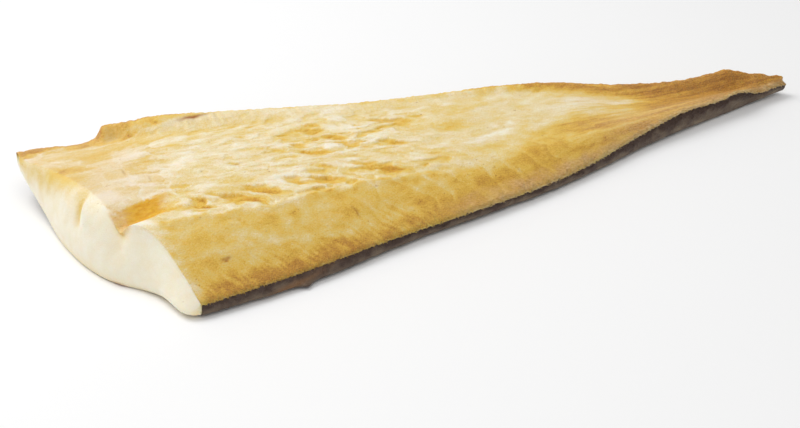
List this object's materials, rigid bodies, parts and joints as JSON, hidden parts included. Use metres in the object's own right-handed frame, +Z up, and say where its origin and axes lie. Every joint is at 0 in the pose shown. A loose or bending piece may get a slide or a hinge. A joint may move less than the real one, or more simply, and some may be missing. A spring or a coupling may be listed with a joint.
{
  "type": "smoked cod fillet",
  "caption": "Side of smoked cod on its dark skin, with a white cut end, golden torn flakes and a thin amber tail.",
  "frame": {"origin": "centre of the bounding box's bottom, on the floor that the fillet lies on", "axes": "+X along the fillet towards the tail, +Y towards the belly edge, +Z up"},
  "size_m": [0.451, 0.1636, 0.0361],
  "materials": {
    "smoked_flesh": "moist, golden and smoked, cream where it is torn and white at the cut",
    "dark_skin": "dark, wrinkled and satin"
  },
  "bodies": {
    "root": {"flesh": "smoked_flesh", "skin": "dark_skin"}
  },
  "joints": []
}
